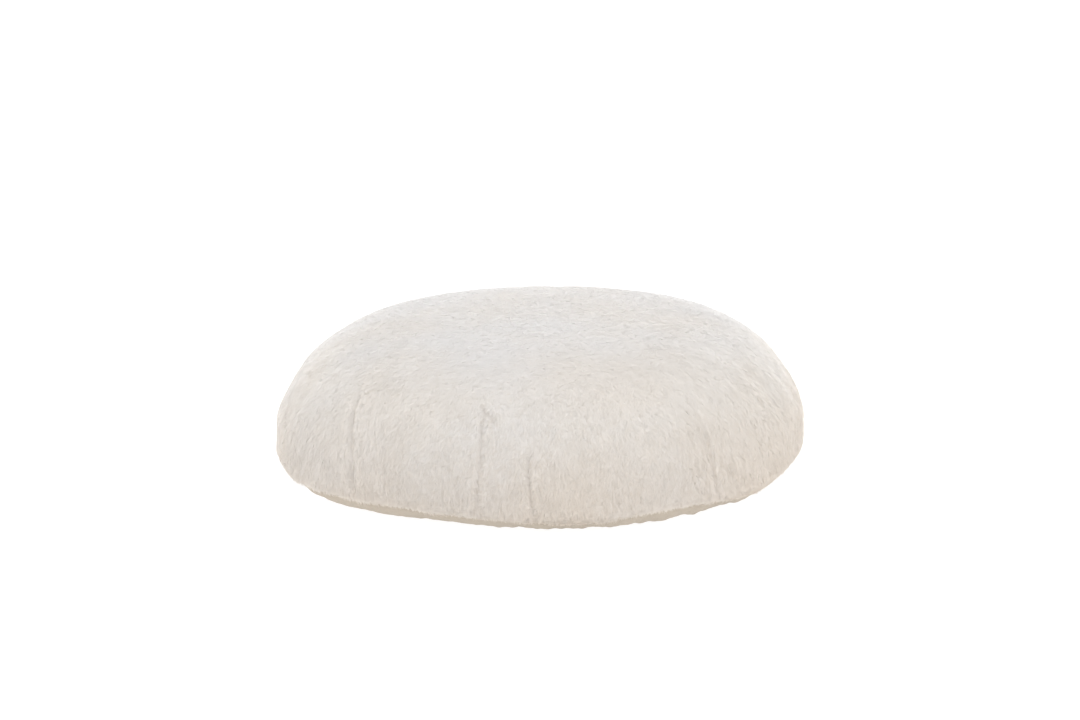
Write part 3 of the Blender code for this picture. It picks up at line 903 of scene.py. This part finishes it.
def grow_pile(name, start, end, top, bottom, seed):
    """Clumps of strands over a part of the cover. Returns the pile as a mesh."""
    rng = np.random.default_rng(seed)
    angle, length = plant_clumps(rng, start, end, top, bottom)
    points, normals = SKIN.point(angle, length), SKIN.normal(angle, length)
    downhill = SKIN.downhill(angle, length)
    comb = comb_direction(length, points, normals, downhill)

    long = 1.0 + 0.12 * noise_at(points, 60.0, 2.2) + rng.normal(0.0, 0.05, len(angle))
    lean = 1.0 + 0.30 * noise_at(points, 75.0, 4.4) * smooth_step(length, 0.08, 0.23)
    comb, sideways, long, lean, shade = part_clumps(angle, length, normals, downhill, comb, long,
                                                    lean)

    count = len(angle) * STRANDS_PER_CLUMP

    def per_strand(values):
        return np.repeat(values, STRANDS_PER_CLUMP, axis=0)

    # Strands lie close and straight down the wall, and are brushed about on the top
    wall = per_strand(smooth_step(length, 0.10, 0.235))
    front = per_strand(hump(from_front(angle), 0.0, 48.0))
    spot_angle = rng.uniform(0.0, FULL_TURN, count)
    spot_reach = np.sqrt(rng.uniform(0.0, 1.0, count)) * CLUMP_SPACING * (1.15 - 0.43 * wall)
    normal, along, across = per_strand(normals), per_strand(comb), per_strand(sideways)
    x, y = spot_reach * np.cos(spot_angle), spot_reach * np.sin(spot_angle)
    root = per_strand(points) + along * x[:, None] + across * y[:, None] - normal * ROOT_DEPTH
    stray = rng.normal(0.0, 1.0, count) * (1.5 - (1.27 - 0.12 * front) * wall)
    stray = stray + per_strand(rng.normal(0.0, 0.26, len(angle))) * (1.0 + 0.5 * front)
    way = along * np.cos(stray)[:, None] + across * np.sin(stray)[:, None]
    size = per_strand(long) * STRAND_LENGTH * rng.uniform(0.80, 1.14, count)
    bend = per_strand(lean) * rng.uniform(0.85, 1.15, count)
    gather = 0.28 * wall
    rise = rng.uniform(0.07, 0.14, count) + wall * (0.10 + (0.02 + 0.06 * front) * per_strand(
        rng.uniform(0.0, 1.0, len(angle))))

    def strand_point(t):
        up = rise * (2.0 * t - t * t)
        out = bend * (0.45 * t + 0.45 * t * t)
        pull = gather * t * t
        return (root + normal * (size * up)[:, None] + way * (size * out)[:, None]
                - along * (x * pull)[:, None] - across * (y * pull)[:, None])

    # Each strand is a flat ribbon that rolls a little and ends in a point
    spine = [strand_point(t) for t in STATIONS]
    tangent = unit(spine[2] - spine[0])
    flat = unit(np.cross(normal, tangent))
    roll = rng.normal(0.0, 0.45, count)[:, None]
    flat = flat * np.cos(roll) + np.cross(tangent, flat) * np.sin(roll)
    width = STRAND_WIDTH * rng.uniform(0.7, 1.25, count)[:, None] / 2.0
    half = flat * width
    vertices = np.stack([spine[0] - half, spine[0] + half, spine[1] - half * MIDDLE_WIDTH,
                         spine[1] + half * MIDDLE_WIDTH, spine[2]], 1)
    vertices[..., 2] = np.maximum(vertices[..., 2], LOWEST_STRAND)
    # It takes its light mostly as the cloth below it does, as if it were round
    face = unit(np.cross(tangent, flat))
    face = face * np.sign((face * normal).sum(-1, keepdims=True))
    middle = unit(0.84 * normal + 0.16 * face + 0.05 * rng.normal(0.0, 1.0, (count, 3)))
    left, right = unit(middle - ROUNDED * flat), unit(middle + ROUNDED * flat)
    shading = np.stack([left, right, left, right, middle], 1)
    # What the material reads: how far along, how dark a strand, and how much painted shade a fold
    # puts on it
    mottled = per_strand(0.25 + 0.75 * smooth_step(length, 0.13, 0.27)) * (0.40 + 0.60 * front)
    pick = mottled * (0.65 * per_strand(rng.uniform(0.0, 1.0, len(angle)))
                      + 0.35 * rng.uniform(0.0, 1.0, count))
    dark = per_strand(shade)
    about = np.stack([np.stack([np.full(count, t), pick, dark * (1.0 - t) ** 1.5], -1)
                      for t in (0.0, 0.0, 0.5, 0.5, 1.0)], 1)

    first = np.arange(count)[:, None] * STRAND_CORNERS
    quads = np.concatenate([first, first + 1, first + 3, first + 2], 1)
    tips = np.concatenate([first + 2, first + 3, first + 4], 1)
    flip = (np.cross(vertices[:, 1] - vertices[:, 0], vertices[:, 3] - vertices[:, 0])
            * normal).sum(-1) < 0.0
    quads[flip] = quads[flip][:, ::-1]
    tips[flip] = tips[flip][:, ::-1]
    mesh = mesh_of(name, vertices.reshape(-1, 3), quads, tips)
    write_attribute(mesh, "strand", about.reshape(-1, 3))
    write_attribute(mesh, "custom_normal", shading.reshape(-1, 3))
    pack_strand_map(mesh, count)
    return mesh


def pack_strand_map(mesh, count):
    """Gives every strand its own small cell of the unit square, root at the bottom, so that its
    colours can be baked without unwrapping."""
    across = max(1, math.ceil(math.sqrt(count * 5.0)))
    tall = math.ceil(count / across)
    column, row = np.arange(count) % across, np.arange(count) // across
    corner = np.stack([(column + 0.15) / across, (row + 0.1) / tall], -1)
    wide, high = 0.7 / across, 0.8 / tall
    cell = np.array([(0, 0), (wide, 0), (0, high / 2), (wide, high / 2), (wide / 2, high)])
    places = (corner[:, None] + cell[None]).reshape(-1, 2)
    corners = np.empty(len(mesh.loops), np.int32)
    mesh.loops.foreach_get("vertex_index", corners)
    layer = mesh.uv_layers.new(name="OFBake")
    layer.data.foreach_set("uv", places[corners].astype(np.float32).ravel())


# ---- the plush cover

SEAM_HALF_GAP = 0.0003
JOIN_GAP = SEAM_HALF_GAP / RADIUS
SLOT_INSET = 0.0004
CROWN_COLUMNS, CROWN_ROWS = 300, 76
COLUMN_WIDTH, ROW_HEIGHT = 0.0034, 0.0030
SLOT_TOP = ZIP_LINE - ZIP_SLOT_WIDTH / 2.0 + SLOT_INSET
SLOT_BOTTOM = ZIP_LINE + ZIP_SLOT_WIDTH / 2.0 - SLOT_INSET
BAND_TOP, BAND_BOTTOM = TOP_SEAM + SEAM_HALF_GAP, BASE_SEAM - SEAM_HALF_GAP


def plush_panel(name, start, end, top, bottom, seed, parts=1, crown=False):
    """A panel of plush: its knitted backing, and its pile in one or more pieces."""
    if crown:
        angle, length = turned_grid(CROWN_COLUMNS, np.linspace(top, bottom, CROWN_ROWS))
    else:
        angle, length = strip_grid(start + JOIN_GAP, end - JOIN_GAP, top, bottom,
                                   COLUMN_WIDTH, ROW_HEIGHT)
    mesh = cloth_piece(name + "_backing", SKIN.point(angle, length), SKIN_THICKNESS,
                       SKIN.normal(angle, length), cloth_metres(angle, length), crown, crown)
    backing = show(mesh, KNIT, stands_for=[name])
    for number in range(parts):
        low = start + (end - start) * number / parts
        high = start + (end - start) * (number + 1) / parts
        label = f"{name}_pile" + (f"_{number + 1}" if parts > 1 else "")
        show(grow_pile(label, low, high, top, bottom, seed + number), PILE)


plush_panel("cover_top_panel", 0.0, FULL_TURN, 0.0, TOP_SEAM - SEAM_HALF_GAP, 100, parts=6,
            crown=True)
for band, start, end, top, bottom, seed, parts in (
        ("front", FRONT_LEFT_JOIN, FRONT_RIGHT_JOIN, BAND_TOP, BAND_BOTTOM, 200, 2),
        ("right", FRONT_RIGHT_JOIN, REAR_RIGHT_JOIN, BAND_TOP, BAND_BOTTOM, 300, 2),
        ("left", REAR_LEFT_JOIN, FRONT_LEFT_JOIN + FULL_TURN, BAND_TOP, BAND_BOTTOM, 400, 2),
        ("rear_upper", REAR_RIGHT_JOIN, REAR_LEFT_JOIN, BAND_TOP, SLOT_TOP, 500, 2),
        ("rear_lower", REAR_RIGHT_JOIN, REAR_LEFT_JOIN, SLOT_BOTTOM, BAND_BOTTOM, 600, 1)):
    plush_panel(f"side_band_{band}", start, end, top, bottom, seed, parts)


# ---- base panel

CANVAS_THICKNESS = 0.0009


def ruffle(points):
    """Gathers of the base cloth's rim, broad ones and fine ones, drawn out up the wall."""
    return (0.70 * noise_at(points * np.array((1.0, 1.0, 0.12)), 52.0, 6.3)
            + 0.55 * noise_at(points * np.array((1.0, 1.0, 0.3)), 130.0, 2.9))


def make_base():
    """The base cloth, gathered where it is drawn up round the foot to its seam."""
    angle, length = turned_grid(COLUMNS, rows_to_centre(COVER, BASE_SEAM + SEAM_HALF_GAP, 26, 44))
    side = from_front(angle)
    run = length - BASE_SEAM
    # It starts under the pile and comes out to the outline as it goes down
    depth = 0.0003 + 0.0042 * np.exp(-run / 0.006)
    deep = 0.0012 + 0.0020 * hump(side, 30.0, 22.0) + 0.0010 * hump(side, -20.0, 20.0)
    reach = smooth_step(run, -0.004, 0.007) * fall(run, 0.026, 0.052)
    outline = COVER.place(angle, length)
    depth = depth * fall(length, COVER.foot - 0.02, COVER.foot) + 0.0002
    depth = depth + deep * reach * (0.35 - ruffle(outline))
    points = slouch(COVER.place(angle, slide(angle, length), np.maximum(depth, -0.0006)))
    points[..., 2] = np.maximum(points[..., 2], 0.0002)
    mesh = cloth_piece("base_cloth_panel", points, CANVAS_THICKNESS, grid_normals(points, True),
                       cloth_metres(angle, length), wraps=True, last_is_point=True)
    panel = show(mesh, CANVAS, stands_for=["cover_base_panel"])


make_base()


# ---- inner pad

INNER_COLUMNS = 300
COTTON_THICKNESS = 0.0005
CASING_HALF_GAP = 0.0005


def puckers(length, outline):
    """Where the casing's seam draws its cloth up, always inwards, in metres."""
    near = np.exp(-np.abs(length - CASING_SEAM) / 0.011)
    folds = noise_at(outline * np.array((1.0, 1.0, 0.2)), 95.0, 4.0)
    return MM * (0.35 + 0.55 * near * (0.5 + folds)) + 0.15 * MM * noise_at(outline, 40.0, 7.0)


def make_casing():
    """The woven bag round the filling, in two panels that meet at its seam."""
    cuts = (("top", np.linspace(0.0, CASING_SEAM - CASING_HALF_GAP, 84), True, False),
            ("base", rows_to_centre(CASING, CASING_SEAM + CASING_HALF_GAP, 40, 40), False, True))
    for which, lengths, first, last in cuts:
        angle, length = turned_grid(INNER_COLUMNS, lengths)
        outline = CASING.place(angle, length)
        points = slouch(CASING.place(angle, length, np.maximum(puckers(length, outline), 0.0)))
        mesh = cloth_piece(f"casing_{which}_cloth", points, COTTON_THICKNESS,
                           grid_normals(points, True), cloth_metres(angle, length), True, first,
                           last)
        piece = show(mesh, CASING_CLOTH, stands_for=[f"inner_casing_{which}"])


def make_filling():
    """The fibre, as one closed lumpy form inside the casing."""
    angle, length = turned_grid(INNER_COLUMNS, rows_to_centre(CASING, 0.0, 96, 36))
    outline = CASING.place(angle, length)
    lumps = 0.35 * noise_at(outline, 26.0, 1.0) + 0.2 * noise_at(outline, 70.0, 2.0)
    points = slouch(CASING.place(angle, length, FILL_DEPTH + MM * (0.45 + lumps)))
    count = points.shape[0] * points.shape[1]
    index = np.arange(count).reshape(points.shape[:2])
    join = np.arange(count)
    join[index[:, 0]] = index[0, 0]
    join[index[:, -1]] = index[0, -1]
    mesh = welded("filling", points.reshape(-1, 3), grid_faces(*points.shape[:2]), join,
                  cloth_metres(angle, length).reshape(-1, 3))
    show(mesh, FIBRE, stands_for=["fibre_fill"])


make_filling()
make_casing()


# ---- stitches

STITCH_PITCH, STITCH_WIDTH = 0.0034, 0.0007
SEAM_END = 0.003
def stitch_run(name, path, outward, pitch, width, node):
    """A row of separate stitches along a path. Each one dips into the cloth at both of its ends."""
    steps = np.append(0.0, np.cumsum(np.linalg.norm(np.diff(path, axis=0), axis=1)))
    count = max(2, int(steps[-1] / pitch))
    middle = (np.arange(count) + 0.5) * steps[-1] / count

    def along(values, at):
        return np.stack([np.interp(at, steps, values[:, k]) for k in range(3)], -1)

    centre = along(path, middle)
    tangent = unit(along(path, middle + pitch * 0.3) - along(path, middle - pitch * 0.3))
    normal = unit(along(outward, middle))
    normal = unit(normal - tangent * (normal * tangent).sum(-1, keepdims=True))
    across = np.cross(tangent, normal)
    reach = np.array((-0.46, -0.36, -0.16, 0.16, 0.36, 0.46)) * pitch
    girth = np.array((0.35, 0.82, 1.0, 1.0, 0.82, 0.35)) * width / 2.0
    dip = np.array((-0.75, -0.25, 0.05, 0.05, -0.25, -0.75)) * width
    turn = np.arange(TUBE_SIDES) / TUBE_SIDES * FULL_TURN
    ring = (normal[:, None, None] * np.cos(turn)[None, None, :, None]
            + across[:, None, None] * np.sin(turn)[None, None, :, None])
    line = (centre[:, None] + tangent[:, None] * reach[None, :, None]
            + normal[:, None] * dip[None, :, None])
    points = line[:, :, None] + ring * girth[None, :, None, None]
    stations = len(reach)
    size = stations * TUBE_SIDES
    faces = tube_faces(stations)[None, :, ::-1] + np.arange(count)[:, None, None] * size
    mesh = mesh_of(name, points.reshape(-1, 3), faces.reshape(-1, 4))
    metres = np.zeros((count, stations, TUBE_SIDES, 3))
    metres[..., 0] = (middle[:, None] + reach[None])[:, :, None]
    metres[..., 1] = (turn / FULL_TURN)[None, None]
    write_attribute(mesh, "cloth", metres.reshape(-1, 3))
    show(mesh, THREAD, stands_for=[node] if node else [])


def make_stitches():
    """The stitches of every seam of the cover and the casing."""
    around = np.linspace(0.0, FULL_TURN, 1441)
    for name, length, lift in (("top_seam", TOP_SEAM, -0.0010), ("base_seam", BASE_SEAM, 0.0004)):
        normal = SKIN.normal(around, length)
        stitch_run(f"{name}_stitches", SKIN.point(around, length) + normal * lift, normal,
                   STITCH_PITCH, STITCH_WIDTH, f"{name}_thread")
    for name, join in (("front_left", FRONT_LEFT_JOIN), ("front_right", FRONT_RIGHT_JOIN),
                       ("rear_right", REAR_RIGHT_JOIN), ("rear_left", REAR_LEFT_JOIN)):
        down = np.linspace(TOP_SEAM + SEAM_END, BASE_SEAM - SEAM_END, 120)
        normal = SKIN.normal(join, down)
        stitch_run(f"band_seam_{name}_stitches", SKIN.point(join, down) + normal * 0.0003, normal,
                   STITCH_PITCH, STITCH_WIDTH, f"band_seam_thread_{name}")
    normal = CASING.outward(around, CASING_SEAM)
    stitch_run("casing_seam_stitches", slouch(CASING.place(around, CASING_SEAM, 0.0004)), normal,
               0.0030, 0.0005, "casing_seam_thread")


make_stitches()


# ---- zip and label

TAPE_TUCK = 0.0045
COIL_PITCH = 0.0014
COIL_WIRE = 0.00056
COIL_REACH = 0.00165
COIL_HALF_DEPTH = 0.00078
COIL_SETBACK = 0.00138
COIL_STEPS = 12


def make_zip():
    """The woven tapes and wound coils, their stitches, and a finish for the metal pieces."""
    gap = -TAPE_TUCK / RADIUS
    for side, which in ((-1.0, "upper"), (1.0, "lower")):
        first, last = sorted((ZIP_LINE + side * 0.0003, ZIP_LINE + side * TAPE_WIDTH))
        angle, length = strip_grid(REAR_RIGHT_JOIN + gap, REAR_LEFT_JOIN - gap, first, last,
                                   0.0018, 0.0012)
        points = COVER.place(angle, length, TAPE_DEPTH)
        normals = COVER.outward(angle, length)
        mesh = cloth_piece(f"zip_tape_{which}_woven", points, TAPE_THICKNESS * 0.8, normals,
                           cloth_metres(angle, length))
        tape = show(mesh, TAPE_CLOTH, stands_for=[f"zip_tape_{which}"])
        run = (REAR_LEFT_JOIN - REAR_RIGHT_JOIN - 2.0 * gap) * (RADIUS - TAPE_DEPTH)

        run = (COIL_END - COIL_START) * (RADIUS - COIL_DEPTH)
        turns = int(run / COIL_PITCH)
        wind = np.arange(turns * COIL_STEPS + 1) / COIL_STEPS
        along = COIL_START + (COIL_END - COIL_START) * (wind + (0.25 if side > 0 else -0.25)
                                                        + 0.5) / (turns + 1.0)
        circle = wind * FULL_TURN
        across = ZIP_LINE + side * (COIL_SETBACK - COIL_REACH * np.cos(circle))
        path = COVER.place(along, across, COIL_DEPTH + COIL_HALF_DEPTH * np.sin(circle))
        forward = unit(np.stack([-np.sin(along), np.cos(along), np.zeros_like(along)], -1))
        tangent = unit(np.gradient(path, axis=0))
        beside = unit(forward - tangent * (forward * tangent).sum(-1, keepdims=True))
        other = np.cross(tangent, beside)
        turn = np.arange(TUBE_SIDES) / TUBE_SIDES * FULL_TURN
        wire = (path[:, None] + (beside[:, None] * np.cos(turn)[None, :, None]
                                 + other[:, None] * np.sin(turn)[None, :, None]) * COIL_WIRE / 2.0)
        coil = mesh_of(f"zip_coil_{which}_wound", wire.reshape(-1, 3), tube_faces(len(path)))
        show(coil, COIL, stands_for=[f"zip_coil_{which}"])

        edge = np.linspace(REAR_RIGHT_JOIN + gap, REAR_LEFT_JOIN - gap, 600)
        for row, far in enumerate((0.0036, 0.0128)):
            place = ZIP_LINE + side * far
            normal = COVER.outward(edge, place)
            stitch_run(f"zip_tape_{which}_stitches_{row + 1}",
                       COVER.place(edge, place, TAPE_DEPTH - 0.0001), normal, 0.0026, 0.0004, None)
    for name in ("zip_stop_closed_end", "zip_stop_open_end", "zip_slider", "zip_pull_tab"):
        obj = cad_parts[name]
        obj.data.materials.clear()
        obj.data.materials.append(METAL)


make_zip()


LABEL_FOLD = 0.00030
LABEL_TUCK = 0.0040
LABEL_THICKNESS = 0.00022
LABEL_LEG_ROWS = 16


def label_curl(out, wide):
    """How far the label bends up, at a reach outwards and a place across it."""
    return 0.0007 * (out / LABEL_REACH) ** 2 * np.sin(wide / LABEL_WIDTH * 4.2 + 0.6)


def make_label():
    """A blank satin ribbon, folded over at its outer end, with its ends sewn into the base seam."""
    place = COVER.place(LABEL_ANGLE, BASE_SEAM)
    outward = COVER.outward(LABEL_ANGLE, BASE_SEAM)
    across = np.array((-math.sin(LABEL_ANGLE), math.cos(LABEL_ANGLE), 0.0))
    up = np.cross(outward, across)
    up = up * np.sign(up[2])
    flat = LABEL_REACH - LABEL_FOLD
    legs = np.linspace(-LABEL_TUCK, flat, LABEL_LEG_ROWS)
    bend = np.linspace(math.pi / 2.0, -math.pi / 2.0, 9)[1:-1]
    x = np.concatenate([legs, flat + LABEL_FOLD * np.cos(bend), legs[::-1]])
    side = np.full(LABEL_LEG_ROWS, LABEL_FOLD)
    y = np.concatenate([side, LABEL_FOLD * np.sin(bend), -side])
    lengths = np.append(0.0, np.cumsum(np.hypot(np.diff(x), np.diff(y))))
    wide = np.linspace(-LABEL_WIDTH / 2.0, LABEL_WIDTH / 2.0, 31)
    curl = label_curl(x[None, :], wide[:, None])
    points = (place + x[None, :, None] * outward + (y[None, :] + curl)[..., None] * up
              + wide[:, None, None] * across)
    points[..., 2] = np.maximum(points[..., 2], 0.0012)
    metres = np.stack(np.broadcast_arrays(wide[:, None], lengths[None, :], 0.0), -1)
    normals = grid_normals(points, False)
    normals = normals * np.sign((normals[15, 4] * up).sum())
    mesh = cloth_piece("care_label_ribbon", points, LABEL_THICKNESS, normals, metres)
    ribbon = show(mesh, SATIN, stands_for=["care_label"])
    out = np.linspace(0.0006, flat - 0.0006, 12)
    for number, edge in ((1, -1.0), (2, 1.0)):
        spot = edge * (LABEL_WIDTH / 2.0 - 0.0012)
        lift = LABEL_FOLD + 0.00012 + label_curl(out, spot)
        path = place + out[:, None] * outward + spot * across + lift[:, None] * up
        stitch_run(f"care_label_stitches_{number}", path, np.tile(up, (len(path), 1)), 0.0018,
                   0.0003, None)


make_label()


# ---- stage, lights and camera

FLOOR_REACH, FLOOR_STEPS = 24.0, 12
FLOOR_GREY, FLOOR_GLOW = 0.24, 0.90
LIT_SPOT = Vector((0.0, 0.0, 0.1))


def make_stage():
    """A plain pale floor that glows a little, so that the ground reads as white."""
    line = np.linspace(-FLOOR_REACH, FLOOR_REACH, FLOOR_STEPS)
    x, y = np.meshgrid(line, line, indexing="ij")
    points = np.stack([x, y, np.zeros_like(x)], -1).reshape(-1, 3)
    mesh = mesh_of("studio_floor", points,
                   grid_faces(FLOOR_STEPS, FLOOR_STEPS, wraps=False)[:, ::-1])
    floor = put_in_scene("studio_floor", mesh)
    mesh.materials.append(Nodes("studio_floor", (FLOOR_GREY,) * 3, 0.9, Emission_Color=(1.0,) * 3,
                                Emission_Strength=FLOOR_GLOW).material)


def area_light(name, place, size, power, colour):
    light = bpy.data.lights.new(name, "AREA")
    light.shape = "DISK"
    light.size, light.energy, light.color = size, power, colour
    obj = put_in_scene(name, light)
    obj.location = place
    obj.rotation_euler = (LIT_SPOT - Vector(place)).to_track_quat("-Z", "Y").to_euler()


CAMERA_TARGET = Vector((0.0, 0.0, 0.075))
CAMERA_DISTANCE = 2.6
CAMERA_ELEVATION = math.radians(14.66)
CAMERA_ROLL = 0.0167
CAMERA_LENS, SENSOR_WIDTH = 91.0, 36.0
CAMERA_SHIFT = (0.0006, 0.0255)


def make_camera():
    """The photograph's view: from the front and a little above, with a slight roll."""
    data = bpy.data.cameras.new("camera")
    data.sensor_width, data.lens = SENSOR_WIDTH, CAMERA_LENS
    data.shift_x, data.shift_y = CAMERA_SHIFT
    data.clip_end = 100.0
    obj = put_in_scene("camera", data)
    back = Vector((0.0, -math.cos(CAMERA_ELEVATION), math.sin(CAMERA_ELEVATION)))
    obj.location = CAMERA_TARGET + back * CAMERA_DISTANCE
    turn = (-back).to_track_quat("-Z", "Y").to_matrix() @ Matrix.Rotation(-CAMERA_ROLL, 3, "Z")
    obj.rotation_euler = turn.to_euler()
    bpy.context.scene.camera = obj


def make_light():
    """Soft light from all round, with weak lights above and at both sides."""
    world = bpy.data.worlds.new("studio")
    world.use_nodes = True
    sky = world.node_tree.nodes["Background"]
    sky.inputs["Color"].default_value = (0.985, 0.985, 1.005, 1.0)
    sky.inputs["Strength"].default_value = 1.41
    bpy.context.scene.world = world
    area_light("overhead", (0.0, 0.2, 2.6), 2.6, 8.0, (0.90, 0.95, 1.0))
    for name, side, power in (("left_fill", -2.3, 8.0), ("right_fill", 2.3, 12.0)):
        area_light(name, (side, -1.5, 1.3), 1.8, power, (1.0, 0.985, 0.97))
    bpy.context.scene.view_settings.view_transform = "Standard"


make_stage()
make_camera()
make_light()
